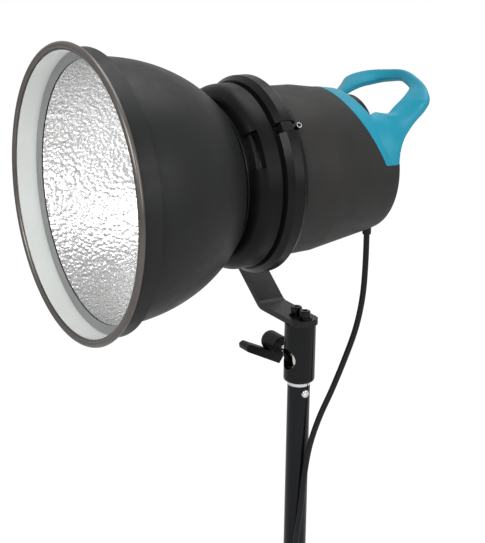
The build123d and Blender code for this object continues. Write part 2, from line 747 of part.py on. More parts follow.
# ---------------------------------------------------------------- controls on the rear cover
for name, (x, z) in button_places.items():
    with BuildPart() as button:
        with BuildSketch(rear_plane(inner_y - 3.0)):
            with Locations((-x, z)):
                Circle(button_radius)
        extrude(amount=3.0 + skin + 2.2)
        fillet(faces().sort_by(Axis.Y)[-1].edges(), 0.8)
        with BuildSketch(rear_plane(inner_y - 3.0)):
            with Locations((-x, z)):
                Circle(button_radius + 1.0)
        extrude(amount=2.6)
    save(button, name)

board_gap = 3.0 + button_travel + 1.0
board_thickness = 1.6
with BuildPart() as panel_board:
    # circuit board behind the buttons, on two posts from the rear cover
    with BuildSketch(rear_plane(inner_y - board_gap - board_thickness)):
        with Locations((0, -12)):
            Rectangle(90, 22)
        with Locations((-model_dial_place[0], model_dial_place[1])):
            Circle(6.4, mode=Mode.SUBTRACT)
    extrude(amount=board_thickness)
    with BuildSketch(rear_plane(inner_y - board_gap)):
        with Locations((-2, -20), (42, -20)):
            Circle(2.2)
    extrude(amount=board_gap)
    # switch domes under the buttons
    with BuildSketch(rear_plane(inner_y - board_gap)):
        for x, z in button_places.values():
            with Locations((-x, z)):
                Circle(2.4)
    extrude(amount=0.8)
save(panel_board, "panel_board")

with BuildPart() as model_dial:
    with BuildSketch(rear_plane(rear_y + dial_gap)):
        with Locations((-model_dial_place[0], model_dial_place[1])):
            Circle(model_dial_radius)
            with PolarLocations(model_dial_radius + 0.8, 14):
                Circle(1.6, mode=Mode.SUBTRACT)
    extrude(amount=9.0, taper=2)
    with BuildSketch(rear_plane(inner_y - 8.0)):
        with Locations((-model_dial_place[0], model_dial_place[1])):
            Circle(shaft_radius)
    extrude(amount=8.0 + skin + dial_gap)
save(model_dial, "model_dial")

with BuildPart() as model_pot:
    with BuildSketch(rear_plane(inner_y - 11.0)):
        with Locations((-model_dial_place[0], model_dial_place[1])):
            Circle(6.2)
    extrude(amount=11.0)
    with BuildSketch(rear_plane(inner_y)):
        with Locations((-model_dial_place[0], model_dial_place[1])):
            Circle(shaft_radius + running)
    extrude(amount=-8.4, mode=Mode.SUBTRACT)
save(model_pot, "model_pot")

with BuildPart() as sync_socket:
    with BuildSketch(rear_plane(inner_y - 12.0)):
        with Locations((-socket_place[0], socket_place[1])):
            Circle(4.0)
    extrude(amount=12.0 + skin)
    with BuildSketch(rear_plane(rear_y)):
        with Locations((-socket_place[0], socket_place[1])):
            Circle(5.4)
    extrude(amount=1.6)
    with BuildSketch(rear_plane(rear_y + 1.6)):
        with Locations((-socket_place[0], socket_place[1])):
            Circle(sync_radius)
    extrude(amount=-sync_depth, mode=Mode.SUBTRACT)
save(sync_socket, "sync_socket")

with BuildPart() as fuse_holder:
    with BuildSketch(rear_plane(inner_y - 14.0)):
        with Locations((-fuse_place[0], fuse_place[1])):
            Circle(6.0)
    extrude(amount=14.0 + skin)
    with BuildSketch(rear_plane(rear_y)):
        with Locations((-fuse_place[0], fuse_place[1])):
            Circle(7.6)
    extrude(amount=4.0)
    fillet(faces().sort_by(Axis.Y)[-1].edges(), 0.8)
    with BuildSketch(rear_plane(rear_y + 4.0)):
        with Locations((-fuse_place[0], fuse_place[1])):
            Rectangle(8, 1.2)
    extrude(amount=-1.0, mode=Mode.SUBTRACT)
save(fuse_holder, "fuse_holder")

with BuildPart() as ready_lamp:
    with BuildSketch(rear_plane(inner_y - 1.0)):
        with Locations((-lamp_place[0], lamp_place[1])):
            Circle(2.5)
    extrude(amount=1.0 + skin + 1.2)
    fillet(faces().sort_by(Axis.Y)[-1].edges(), 1.1)
save(ready_lamp, "ready_lamp")

rocker_pivot_y = rear_y - 2.0
rocker_radius = 15.0
with BuildPart() as switch_bezel:
    with BuildSketch(rear_plane(rear_y)):
        with Locations((-rocker_place[0], rocker_place[1])):
            Rectangle(*bezel_size)
    extrude(amount=1.8)
    with BuildSketch(rear_plane(rear_y)):
        with Locations((-rocker_place[0], rocker_place[1])):
            Rectangle(bezel_size[0] - 3, bezel_size[1] - 3)
    extrude(amount=-16)
    with BuildSketch(rear_plane(rear_y + 1.8)):
        with Locations((-rocker_place[0], rocker_place[1])):
            Rectangle(rocker_size[0], rocker_size[1] - 2)
    extrude(amount=-14, mode=Mode.SUBTRACT)
    with BuildSketch(side_plane(rocker_place[0] + bezel_size[0] / 2 - 1.6, 0, rocker_place[1])):
        with Locations((-rocker_pivot_y, 0)):
            Circle(1.2 + running)
    extrude(amount=bezel_size[0] - 3.2, mode=Mode.SUBTRACT)
save(switch_bezel, "switch_bezel")

with BuildPart() as rocker_switch:
    with BuildSketch(side_plane(rocker_place[0] + rocker_size[0] / 2 - 0.3, 0, rocker_place[1])):
        with BuildLine():
            half = rocker_size[1] / 2 - 1.8
            Polyline((-rocker_pivot_y + 3.0, half - 0.6), (-rocker_pivot_y - 4.6, half), (-rocker_pivot_y - 3.0, 0),
                     (-rocker_pivot_y - 4.6, -half), (-rocker_pivot_y + 3.0, 0.6 - half), close=True)
        make_face()
    extrude(amount=rocker_size[0] - 0.6)
    with BuildSketch(side_plane(rocker_place[0] + rocker_size[0] / 2 + 0.8, 0, rocker_place[1])):
        with Locations((-rocker_pivot_y, 0)):
            Circle(1.2)
    extrude(amount=rocker_size[0] + 1.6)
save(rocker_switch, "rocker_switch")

# ---------------------------------------------------------------- bayonet and release latch
lug_plane_y = neck_rear + 8.0
claw_front = lug_plane_y - 3.2
claw_thickness = 2.9
with BuildPart() as bayonet_ring:
    # claws in front of the lugs, with three slots that let them through, on spacers from the plate
    with BuildSketch(rear_plane(claw_front)):
        Circle(collar_lip_radius + 2.4)
        Circle(lug_tube_radius + seat_gap, mode=Mode.SUBTRACT)
        with BuildSketch(mode=Mode.SUBTRACT):
            with PolarLocations(0, 3, start_angle=30):
                with BuildLine():
                    slot_spread = 70 * tan(radians(lug_angle / 2 + 3))
                    Polyline((0, 0), (70, -slot_spread), (70, slot_spread), close=True)
                make_face()
            Circle(lug_tube_radius + lug_height + 0.5, mode=Mode.INTERSECT)
    extrude(amount=claw_thickness)
    with BuildSketch(rear_plane(claw_front + claw_thickness)):
        with PolarLocations(61.6, 6, start_angle=10):
            Circle(1.9)
    extrude(amount=mount_y - claw_front - claw_thickness)
save(bayonet_ring, "bayonet_ring")

pad_out = ring_bore + 0.5
with BuildPart() as release_slide:
    with BuildSketch(release_plane.offset(pad_out)):
        with Locations((-1.2, 0)):
            RectangleRounded(9.5, ring_gap_pad, 1.4)
    extrude(amount=ring_radius - pad_out - 0.4)
    with BuildSketch(release_plane.offset(release_pin_circle - 1)):
        with Locations((-2.0, 0)):
            Rectangle(6.0, slot_width - 0.8)
    extrude(amount=pad_out - release_pin_circle + 1)
    with BuildSketch(Plane(origin=(0, mount_y + 0.3, axis_height), z_dir=(0, 1, 0), x_dir=(1, 0, 0))):
        with PolarLocations(release_pin_circle, 1, start_angle=-release_angle):
            Circle(release_pin_radius)
    extrude(amount=slot_y - mount_y - 2)
save(release_slide, "release_slide")

# ---------------------------------------------------------------- lamps
flash_circle = 27.0
flash_foot = 6.0
flash_tube_radius = 4.0
base_radius = 52.0
base_thickness = 3.0
glass_radius = 41.0
glass_wall = 2.0
glass_front = -124.0
base_rear = mount_y + mount_thickness + base_thickness
lamp_socket_radius = 13.0
with BuildPart() as lamp_base:
    # ceramic base behind the plate, with a raised middle in the plate's bore
    with BuildSketch(rear_plane(mount_y + mount_thickness)):
        Circle(base_radius)
    extrude(amount=base_thickness)
    with BuildSketch(rear_plane(mount_y - 1.0)):
        Circle(plate_bore - 0.1)
    extrude(amount=mount_thickness + 1.0)
    with BuildSketch(rear_plane(mount_y - 1.0)):
        Circle(lamp_socket_radius + running)
    extrude(amount=mount_thickness + base_thickness + 1.0, mode=Mode.SUBTRACT)
    with BuildSketch(front_plane(base_rear)):
        with Locations((-flash_foot, -flash_circle), (flash_foot, -flash_circle)):
            Circle(flash_tube_radius + running)
    extrude(amount=mount_thickness + base_thickness + 1.0, mode=Mode.SUBTRACT)
save(lamp_base, "lamp_base")

with BuildPart() as glass_cover:
    with BuildSketch(lamp_side):
        with BuildLine():
            base_y = mount_y - 1.0
            dome_y = glass_front + 22.0
            Polyline((dome_y, glass_radius - glass_wall), (base_y, glass_radius - glass_wall), (base_y, glass_radius),
                     (dome_y, glass_radius))
            Spline((dome_y, glass_radius), (glass_front + 6, glass_radius * 0.72), (glass_front, 0),
                   tangents=[(-1, 0), (0, -1)])
            Line((glass_front, 0), (glass_front + glass_wall, 0))
            Spline((glass_front + glass_wall, 0), (glass_front + 7.6, (glass_radius - glass_wall) * 0.72),
                   (dome_y, glass_radius - glass_wall), tangents=[(0, 1), (1, 0)])
        make_face()
    revolve(axis=lamp_axis)
save(glass_cover, "glass_cover")

flash_y = -96.0
with BuildPart() as flash_tube:
    # ring of glass tube with its two ends turned back into the base
    gap_half = degrees(atan2(flash_foot, flash_circle))
    start_plane = Plane(origin=(0, flash_y, axis_height), x_dir=(-sin(radians(gap_half)), 0, -cos(radians(gap_half))),
                        z_dir=(cos(radians(gap_half)), 0, -sin(radians(gap_half))))
    ring_middle = hypot(flash_foot, flash_circle)
    with BuildSketch(start_plane):
        with Locations((ring_middle, 0)):
            Circle(flash_tube_radius)
    revolve(axis=lamp_axis, revolution_arc=360 - 2 * gap_half)
    with BuildSketch(rear_plane(flash_y)):
        with Locations((-flash_foot, -flash_circle), (flash_foot, -flash_circle)):
            Circle(flash_tube_radius)
    extrude(amount=base_rear - flash_y)
    with Locations((-flash_foot, flash_y, axis_height - flash_circle), (flash_foot, flash_y, axis_height - flash_circle)):
        Sphere(flash_tube_radius)
save(flash_tube, "flash_tube")

with BuildPart() as lamp_socket:
    with BuildSketch(rear_plane(-78.0)):
        Circle(lamp_socket_radius)
    extrude(amount=18.0)
    with BuildSketch(rear_plane(-78.0)):
        with Locations((-3, 0), (3, 0)):
            Circle(0.8)
    extrude(amount=9.0, mode=Mode.SUBTRACT)
save(lamp_socket, "lamp_socket")

with BuildPart() as modelling_lamp:
    # halogen capsule on its pinch and two pins
    with BuildSketch(rear_plane(-110.0)):
        Circle(6.6)
    extrude(amount=26.0)
    fillet(faces().sort_by(Axis.Y)[0].edges(), 6.0)
    with BuildSketch(rear_plane(-85.0)):
        Rectangle(11, 4.4)
    extrude(amount=7.0)
    with BuildSketch(rear_plane(-79.0)):
        with Locations((-3, 0), (3, 0)):
            Circle(0.7)
    extrude(amount=9.0)
save(modelling_lamp, "modelling_lamp")

# ---------------------------------------------------------------- inside the body
bulkhead_y = -62.0
bulkhead_thickness = 1.5
deck_z = -38.0
deck_thickness = 1.5
deck_top = deck_z + deck_thickness
deck_end = 28.0
deck_half_width = 38.0
spacer_angles = (32, 58, 122, 148, 212, 328)
with BuildPart() as chassis:
    # bulkhead behind the lamps on six spacers, and the deck that carries the power parts
    with BuildSketch(rear_plane(bulkhead_y)):
        Circle(shell_radius - skin - 0.3)
        Circle(30, mode=Mode.SUBTRACT)
        with PolarLocations(release_pin_circle, 1, start_angle=180 - release_angle):
            Rectangle(14, 9, mode=Mode.SUBTRACT)
    extrude(amount=bulkhead_thickness)
    with BuildSketch(rear_plane(mount_y + mount_thickness)):
        for angle in spacer_angles:
            with PolarLocations(56.5, 1, start_angle=180 - angle):
                Circle(2.6)
    extrude(amount=bulkhead_y - mount_y - mount_thickness)
    with BuildSketch(rear_plane(bulkhead_y)):
        with Locations((0, deck_z + deck_thickness / 2)):
            Rectangle(2 * deck_half_width, deck_thickness)
    extrude(amount=deck_end - bulkhead_y)
save(chassis, "chassis")

capacitor_radius = 17.0
capacitor_length = 45.0
capacitor_front = bulkhead_y + bulkhead_thickness + 0.8
capacitor_pitch = 2 * capacitor_radius + 0.5
with BuildPart() as capacitors:
    with BuildSketch(rear_plane(capacitor_front)):
        with Locations((0, deck_top + capacitor_radius)):
            with GridLocations(capacitor_pitch, 1, 2, 1):
                Circle(capacitor_radius)
    extrude(amount=capacitor_length)
    chamfer(edges().filter_by(GeomType.CIRCLE), 1.0)
save(capacitors, "capacitors")

board_z = deck_top + 2 * capacitor_radius
with BuildPart() as main_board:
    with BuildSketch(level_plane(board_z, 0, capacitor_front + capacitor_length / 2)):
        RectangleRounded(84, capacitor_length, 3)
    extrude(amount=board_thickness)
save(main_board, "main_board")

board_top = board_z + board_thickness
with BuildPart() as board_parts:
    # transformer, finned heat sink, choke and relays
    with BuildSketch(level_plane(board_top, -24, -40)):
        Rectangle(24, 22)
    extrude(amount=20)
    with BuildSketch(level_plane(board_top + 4, -24, -40)):
        Rectangle(29, 16)
    extrude(amount=12)
    with BuildSketch(level_plane(board_top, 8, -40)):
        Rectangle(26, 3)
        with GridLocations(4.2, 1, 6, 1):
            Rectangle(1.4, 16)
    extrude(amount=26)
    with BuildSketch(level_plane(board_top, 32, -44)):
        Circle(7.5)
    extrude(amount=14)
    with BuildSketch(level_plane(board_top, 30, -24)):
        with GridLocations(12, 1, 2, 1):
            Rectangle(9, 11)
    extrude(amount=9)
save(board_parts, "board_parts")

fan_size = 60.0
fan_depth = 15.0
fan_front = -8.0
fan_z = deck_top + fan_size / 2
fan_hub_radius = 12.0
fan_pin_radius = 1.6
with BuildPart() as fan_frame:
    with BuildSketch(rear_plane(fan_front)):
        with Locations((0, fan_z)):
            RectangleRounded(fan_size, fan_size, 4)
            Circle(28.6, mode=Mode.SUBTRACT)
            with GridLocations(50, 50, 2, 2):
                Circle(2.1, mode=Mode.SUBTRACT)
    extrude(amount=fan_depth)
    # rear spider with the motor's pin
    with BuildSketch(rear_plane(fan_front + fan_depth - 2.5)):
        with Locations((0, fan_z)):
            Circle(fan_hub_radius)
            with PolarLocations(0, 4, start_angle=45):
                with Locations((20, 0)):
                    Rectangle(20, 2.4)
    extrude(amount=2.5)
    with BuildSketch(rear_plane(fan_front + 3)):
        with Locations((0, fan_z)):
            Circle(fan_pin_radius)
    extrude(amount=fan_depth - 4)
save(fan_frame, "fan_frame")

with BuildPart() as fan_rotor:
    with BuildSketch(rear_plane(fan_front + 0.6)):
        with Locations((0, fan_z)):
            Circle(fan_hub_radius)
    extrude(amount=11.0)
    with BuildSketch(rear_plane(fan_front + 2.6)):
        with Locations((0, fan_z)):
            Circle(fan_pin_radius + running)
    extrude(amount=10.0, mode=Mode.SUBTRACT)
    for count in range(7):
        turn = 360 / 7 * count
        out = (cos(radians(turn)), 0, sin(radians(turn)))
        blade_plane = Plane(origin=(0, fan_front + 6.1, axis_height + fan_z), z_dir=out, x_dir=(0, 1, 0))
        with BuildSketch(blade_plane.offset(fan_hub_radius - 1)):
            Rectangle(12.0, 1.2, rotation=38)
        extrude(amount=27.0 - fan_hub_radius + 1)
save(fan_rotor, "fan_rotor")

# ---------------------------------------------------------------- power cord
gland_top_z = -50.0
gland_bottom_z = -58.0
with BuildPart() as cable_gland:
    with BuildSketch(level_plane(gland_bottom_z, gland_x, gland_y)):
        Circle(gland_radius)
        Circle(cord_radius, mode=Mode.SUBTRACT)
    extrude(amount=gland_top_z - gland_bottom_z)
    chamfer(faces().sort_by(Axis.Z)[0].edges().sort_by(SortBy.LENGTH)[-1], 0.6)
save(cable_gland, "cable_gland")

# the cord's route: chosen points, from the gland down beside the post to the coil
cord_route = [(18, 50.2, -48), (18, 50.2, -84), (18.6, 48, -112), (18.4, 42.5, -138), (17.9, 33, -163),
              (17.2, 22, -188), (16.2, 10.5, -212), (14.4, 3.2, -236), (12.9, -0.3, -262), (12.9, -3, -290),
              (15.5, -8, -316), (21, -14.5, -338), (28, -20, -358), (33, -22.2, -374)]


def bend_radii(points):
    """Radius for each corner of a cord, as wide as its runs allow."""
    radii = []
    for before, here, after in zip(points, points[1:], points[2:]):
        first = Vector(*here) - Vector(*before)
        second = Vector(*after) - Vector(*here)
        turn = radians(first.get_angle(second))
        radii.append(0.45 * min(first.length, second.length) / tan(max(turn, 0.02) / 2))
    return radii


route = [(x, y, axis_height + z) for x, y, z in cord_route]
with BuildPart() as power_cord:
    with BuildLine() as cord_line:
        FilletPolyline(*route, radius=bend_radii(route))
    with BuildSketch(Plane(origin=cord_line.line @ 0, z_dir=cord_line.line % 0)):
        Circle(cord_radius)
    sweep(path=cord_line.line)
save(power_cord, "power_cord")

coil_y = -22.4
coil_z = -coil_drop
with BuildPart() as cord_coil:
    with BuildSketch(Plane(origin=(0, coil_y, axis_height + coil_z), x_dir=(1, 0, 0), z_dir=(0, 0, 1))):
        with Locations((coil_radius, 0)):
            RectangleRounded(coil_section, coil_section, 4)
    revolve(axis=Axis((0, coil_y, axis_height + coil_z), (0, 1, 0)))
save(cord_coil, "cord_coil")

tie_z = coil_z + coil_radius
with BuildPart() as cord_tie:
    with BuildSketch(level_plane(tie_z - 6)):
        Circle(post_radius + 2.4)
        Circle(post_radius + 0.4, mode=Mode.SUBTRACT)
    extrude(amount=12)
    with BuildSketch(Plane(origin=(-6, coil_y, axis_height + tie_z), x_dir=(0, 1, 0), z_dir=(1, 0, 0))):
        Rectangle(coil_section + 6, coil_section + 6)
        Rectangle(coil_section + 2, coil_section + 2, mode=Mode.SUBTRACT)
    extrude(amount=12)
save(cord_tie, "cord_tie")

plug_radius = 9.5
plug_x = 16.0
plug_y = coil_y - coil_section / 2 - plug_radius
plug_face_z = -440.0
pin_length = 13.0
with BuildPart() as mains_plug:
    with BuildSketch(level_plane(plug_face_z, plug_x, plug_y)):
        Circle(plug_radius)
    extrude(amount=30)
    fillet(faces().sort_by(Axis.Z)[-1].edges(), 4)
    with BuildSketch(level_plane(plug_face_z - pin_length, plug_x, plug_y)):
        with GridLocations(9, 1, 2, 1):
            Circle(2.0)
    extrude(amount=pin_length + 1)
save(mains_plug, "mains_plug")
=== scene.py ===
"""Studio flash head on the top section of its light stand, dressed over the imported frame."""
from math import asin, cos, hypot, pi, radians, sin, tau

import bmesh
import bpy
from mathutils import Matrix, Vector
from mathutils import noise as cell_noise


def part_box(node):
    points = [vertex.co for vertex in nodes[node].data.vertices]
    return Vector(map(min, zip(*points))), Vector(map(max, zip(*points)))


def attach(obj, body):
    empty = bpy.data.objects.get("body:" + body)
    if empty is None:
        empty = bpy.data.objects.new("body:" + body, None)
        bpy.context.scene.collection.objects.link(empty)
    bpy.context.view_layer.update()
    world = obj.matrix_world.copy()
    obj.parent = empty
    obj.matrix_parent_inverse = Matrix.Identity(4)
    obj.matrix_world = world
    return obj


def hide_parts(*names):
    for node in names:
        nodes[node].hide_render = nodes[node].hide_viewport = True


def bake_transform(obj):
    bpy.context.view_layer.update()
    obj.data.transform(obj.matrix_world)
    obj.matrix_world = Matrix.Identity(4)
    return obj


MM = 0.001

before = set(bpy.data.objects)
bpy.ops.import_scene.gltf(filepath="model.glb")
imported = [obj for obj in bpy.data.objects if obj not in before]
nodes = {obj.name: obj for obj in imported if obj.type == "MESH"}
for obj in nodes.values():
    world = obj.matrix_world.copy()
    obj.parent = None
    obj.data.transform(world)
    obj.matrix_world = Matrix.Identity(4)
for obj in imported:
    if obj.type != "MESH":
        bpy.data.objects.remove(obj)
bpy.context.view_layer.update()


# ---------------------------------------------------------------- places read from the frame
def middle(node):
    low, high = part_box(node)
    return (low + high) / 2


RIM_LOW, RIM_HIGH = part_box("reflector_shell")
AXIS_Z = middle("reflector_shell").z
RIM_RADIUS = (RIM_HIGH.x - RIM_LOW.x) / 2
RIM_FRONT = RIM_LOW.y


def at(x, y, z):
    """A point given in millimetres from the post's axis and the lamp's axis."""
    return Vector((x * MM, y * MM, AXIS_Z + z * MM))


# ---------------------------------------------------------------- material helpers
# noise gathers round its middle value, so a ramp spreads its two colours over this part of it
RAMP_START = 0.3
RAMP_END = 0.7
GRAIN_DEPTH = 0.00025


def new_material(name):
    material = bpy.data.materials.new(name)
    material.use_nodes = True
    tree = material.node_tree
    return material, tree, tree.nodes["Principled BSDF"]


def link(tree, source, target):
    tree.links.new(source, target)


def noise(tree, scale, detail=4.0, roughness=0.55, stretch=(1, 1, 1)):
    """Noise on object coordinates, as a factor output."""
    coords = tree.nodes.new("ShaderNodeTexCoord")
    mapping = tree.nodes.new("ShaderNodeMapping")
    mapping.inputs["Scale"].default_value = stretch
    texture = tree.nodes.new("ShaderNodeTexNoise")
    texture.inputs["Scale"].default_value = scale
    texture.inputs["Detail"].default_value = detail
    texture.inputs["Roughness"].default_value = roughness
    link(tree, coords.outputs["Object"], mapping.inputs["Vector"])
    link(tree, mapping.outputs["Vector"], texture.inputs["Vector"])
    return texture.outputs["Fac"]


def ramp(tree, factor, low, high):
    """Colour that runs from low to high with the factor."""
    node = tree.nodes.new("ShaderNodeValToRGB")
    stops = ((RAMP_START, low), (RAMP_END, high))
    for element, (position, colour) in zip(node.color_ramp.elements, stops):
        element.position = position
        element.color = (*colour, 1.0)
    link(tree, factor, node.inputs["Fac"])
    return node.outputs["Color"]


def grey_ramp(tree, factor, low, high):
    return ramp(tree, factor, (low,) * 3, (high,) * 3)


def bump(tree, height, strength, distance, normal=None):
    node = tree.nodes.new("ShaderNodeBump")
    node.inputs["Strength"].default_value = strength
    node.inputs["Distance"].default_value = distance
    link(tree, height, node.inputs["Height"])
    if normal is not None:
        link(tree, normal, node.inputs["Normal"])
    return node.outputs["Normal"]


def shade(colour, factor):
    return tuple(min(1.0, channel * factor) for channel in colour)


def surface(name, colour, roughness, metallic=0.0, spread=0.12, rough_spread=0.06, patch=35.0,
            grain=0.0, grain_scale=900.0, stretch=(1, 1, 1), coat=0.0, specular=0.5):
    """Solid finish with broad colour variation, uneven gloss and a fine moulded or cast grain."""
    material, tree, shader = new_material(name)
    broad = noise(tree, patch, detail=5.0)
    tone = ramp(tree, broad, shade(colour, 1 - spread), shade(colour, 1 + spread))
    link(tree, tone, shader.inputs["Base Color"])
    gloss = noise(tree, patch * 3, roughness=0.6)
    uneven = grey_ramp(tree, gloss, roughness - rough_spread, roughness + rough_spread)
    link(tree, uneven, shader.inputs["Roughness"])
    shader.inputs["Metallic"].default_value = metallic
    shader.inputs["Coat Weight"].default_value = coat
    shader.inputs["Specular IOR Level"].default_value = specular
    if grain:
        fine = noise(tree, grain_scale, detail=2.0, roughness=0.5, stretch=stretch)
        link(tree, bump(tree, fine, grain, GRAIN_DEPTH), shader.inputs["Normal"])
    return material


def dimpled_silver():
    """Bright hammered aluminium: small rounded facets pressed into the sheet."""
    material, tree, shader = new_material("dimpled_silver")
    coords = tree.nodes.new("ShaderNodeTexCoord")
    cells = tree.nodes.new("ShaderNodeTexVoronoi")
    cells.feature = "SMOOTH_F1"
    cells.inputs["Scale"].default_value = 330.0
    cells.inputs["Smoothness"].default_value = 0.6
    link(tree, coords.outputs["Object"], cells.inputs["Vector"])
    fine = noise(tree, 700.0, detail=2.0)
    tone = grey_ramp(tree, noise(tree, 30.0), 0.70, 0.80)
    link(tree, tone, shader.inputs["Base Color"])
    link(tree, grey_ramp(tree, fine, 0.22, 0.34), shader.inputs["Roughness"])
    shader.inputs["Metallic"].default_value = 0.85
    pressed = bump(tree, cells.outputs["Distance"], strength=1.0, distance=0.0008)
    rough = bump(tree, fine, strength=0.15, distance=0.0004, normal=pressed)
    link(tree, rough, shader.inputs["Normal"])
    return material


def glass(name, tint):
    material, tree, shader = new_material(name)
    tone = ramp(tree, noise(tree, 40.0), shade(tint, 0.97), tint)
    link(tree, tone, shader.inputs["Base Color"])
    shader.inputs["Roughness"].default_value = 0.04
    shader.inputs["IOR"].default_value = 1.47
    shader.inputs["Transmission Weight"].default_value = 1.0
    return material


def glowing(name, colour, strength):
    material, tree, shader = new_material(name)
    tone = ramp(tree, noise(tree, 60.0), shade(colour, 0.92), colour)
    link(tree, tone, shader.inputs["Base Color"])
    shader.inputs["Roughness"].default_value = 0.4
    shader.inputs["Emission Color"].default_value = (*colour, 1.0)
    shader.inputs["Emission Strength"].default_value = strength
    return material


# ---------------------------------------------------------------- finishes
CHARCOAL = surface("satin_charcoal", (0.017, 0.0175, 0.0185), 0.42, spread=0.08, grain=0.12,
                   grain_scale=1400.0, specular=0.22)
BEAD = surface("rim_metal", (0.16, 0.145, 0.135), 0.30, metallic=0.85, spread=0.10)
# the band's inside gets a painted reflection: a pale, faintly green colour without metallic shine,
# standing in for the bright surroundings seen in its polished metal
PAINTED_BAND_REFLECTION = surface("band_painted_reflection", (0.80, 0.83, 0.81), 0.45, spread=0.03)
STEP_GREY = surface("step_grey", (0.34, 0.35, 0.35), 0.40, metallic=0.3, spread=0.08)
SILVER = dimpled_silver()
COLLAR = surface("collar_black", (0.0065, 0.0065, 0.007), 0.36, spread=0.15, grain=0.10,
                 grain_scale=1600.0, specular=0.12)
RING = surface("ring_black", (0.009, 0.0088, 0.0088), 0.30, spread=0.15, grain=0.08,
               grain_scale=1600.0, specular=0.16)
BODY = surface("body_grey", (0.031, 0.0295, 0.0285), 0.52, spread=0.10, grain=0.35,
               grain_scale=1500.0, specular=0.22)
BLUE = surface("handle_blue", (0.014, 0.325, 0.47), 0.36, spread=0.04, grain=0.05,
               grain_scale=1600.0, specular=0.3)
PANEL = surface("panel_black", (0.018, 0.018, 0.020), 0.5, grain=0.3, grain_scale=1500.0,
                specular=0.25)
KNOB = surface("knob_black", (0.011, 0.011, 0.012), 0.40, spread=0.15, grain=0.12,
               grain_scale=1500.0, specular=0.22)
GLOSS = surface("gloss_black_paint", (0.003, 0.0035, 0.0045), 0.16, rough_spread=0.04, coat=0.08,
                specular=0.22)
YOKE = surface("yoke_paint", (0.013, 0.013, 0.014), 0.34, grain=0.2, grain_scale=800.0,
               specular=0.25)
POST = surface("post_black", (0.004, 0.005, 0.0075), 0.20, spread=0.1, rough_spread=0.04,
               coat=0.08, specular=0.22)
CHROME = surface("chrome", (0.78, 0.79, 0.81), 0.10, metallic=1.0, spread=0.03, rough_spread=0.03)
STEEL = surface("zinc_steel", (0.50, 0.51, 0.52), 0.34, metallic=1.0, grain=0.1, stretch=(1, 1, 8))
BRASS = surface("turned_brass", (0.62, 0.47, 0.20), 0.28, metallic=1.0)
RUBBER = surface("cord_rubber", (0.010, 0.010, 0.011), 0.42, grain=0.2, grain_scale=1200.0,
                 specular=0.25)
CERAMIC = surface("ceramic", (0.74, 0.71, 0.64), 0.55, grain=0.2)
WHITE_INK = surface("white_print", (0.72, 0.72, 0.72), 0.5, spread=0.04)
BUTTON = surface("soft_button", (0.16, 0.16, 0.17), 0.55, grain=0.15)
RED_LENS = glowing("red_lens", (0.55, 0.03, 0.03), strength=0.3)
BOARD = surface("board_green", (0.02, 0.13, 0.05), 0.4, spread=0.2, patch=120.0)
PARTS = surface("dark_parts", (0.06, 0.06, 0.065), 0.45, spread=0.3, patch=120.0)
CLEAR = glass("clear_glass", (0.97, 0.98, 0.98))
LIT = glowing("lit_capsule", (1.0, 0.97, 0.92), strength=40.0)

NODE_MATERIALS = {
    CHROME: ["stand_spigot", "spigot_screw", "clamp_screw"],
    POST: ["stand_tube"],
    GLOSS: ["stand_socket", "socket_screws", "socket_washers"],
    YOKE: ["yoke_arm", "tilt_boss"],
    KNOB: ["clamp_knob", "tilt_knob", "tube_end_plug", "power_dial", "model_dial", "switch_bezel",
           "rocker_switch", "cable_gland", "mains_plug", "cord_tie", "release_slide", "fan_frame",
           "fan_rotor", "fuse_holder", "friction_disc"],
    STEEL: ["tilt_bolt", "mount_plate", "reflector_rivets", "chassis", "sync_socket", "capacitors",
            "power_pot", "model_pot"],
    BRASS: ["clamp_pad"],
    CHARCOAL: ["reflector_neck_ring", "bayonet_ring"],
    COLLAR: ["front_collar"],
    RING: ["ring_band"],
    BODY: ["body_shell", "rear_cover"],
    BLUE: ["handle"],
    PANEL: ["control_panel"],
    WHITE_INK: ["dial_scale"],
    BUTTON: ["test_button", "slave_button", "sound_button"],
    RED_LENS: ["ready_lamp"],
    BOARD: ["panel_board", "main_board"],
    PARTS: ["board_parts"],
    CERAMIC: ["lamp_base", "lamp_socket"],
    CLEAR: ["glass_cover", "flash_tube"],
    LIT: ["modelling_lamp"],
}


def dress_nodes():
    """Gives each carried-over node its finish."""
    for material, names in NODE_MATERIALS.items():
        for name in names:
            slots = nodes[name].data.materials
            slots.clear()
            slots.append(material)


dress_nodes()


# ---------------------------------------------------------------- mesh helpers
TURNED_SEGMENTS = 192
TURNED_SHARP = 35.0
TUBE_SHARP = 50.0
PATH_STEPS = 24
# a last step shorter than this share of the spacing is joined to the one before it
PATH_SHORTEST = 0.4


def in_scene(name, data):
    holder = bpy.data.objects.new(name, data)
    bpy.context.scene.collection.objects.link(holder)
    return holder


def add_piece(name, mesh, material, body):
    mesh.materials.append(material)
    piece = in_scene(name, mesh)
    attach(piece, body)
    return piece


def wall(work, first, second):
    """Faces between two equal rings of vertices."""
    for k in range(len(first)):
        after = (k + 1) % len(first)
        work.faces.new((first[k], first[after], second[after], second[k]))


def finished(work, name, sharp=None):
    """Mesh from the work, with smooth shading and edges left sharp above an angle."""
    mesh = bpy.data.meshes.new(name)
    work.to_mesh(mesh)
    work.free()
    for polygon in mesh.polygons:
        polygon.use_smooth = True
    if sharp:
        mesh.set_sharp_from_angle(angle=radians(sharp))
    return mesh


def round_the_axis(y, radius, angle):
    return at(radius * cos(angle), y, radius * sin(angle))


def lathe(name, profile):
    """Mesh turned about the lamp's axis from a closed profile of (y, radius) points."""
    work = bmesh.new()
    angles = [tau * step / TURNED_SEGMENTS for step in range(TURNED_SEGMENTS)]
    rings = [[work.verts.new(round_the_axis(y, radius, angle)) for angle in angles]
             for y, radius in profile]
    for first, second in zip(rings, rings[1:] + rings[:1]):
        wall(work, first, second)
    bmesh.ops.recalc_face_normals(work, faces=work.faces)
    return finished(work, name, TURNED_SHARP)


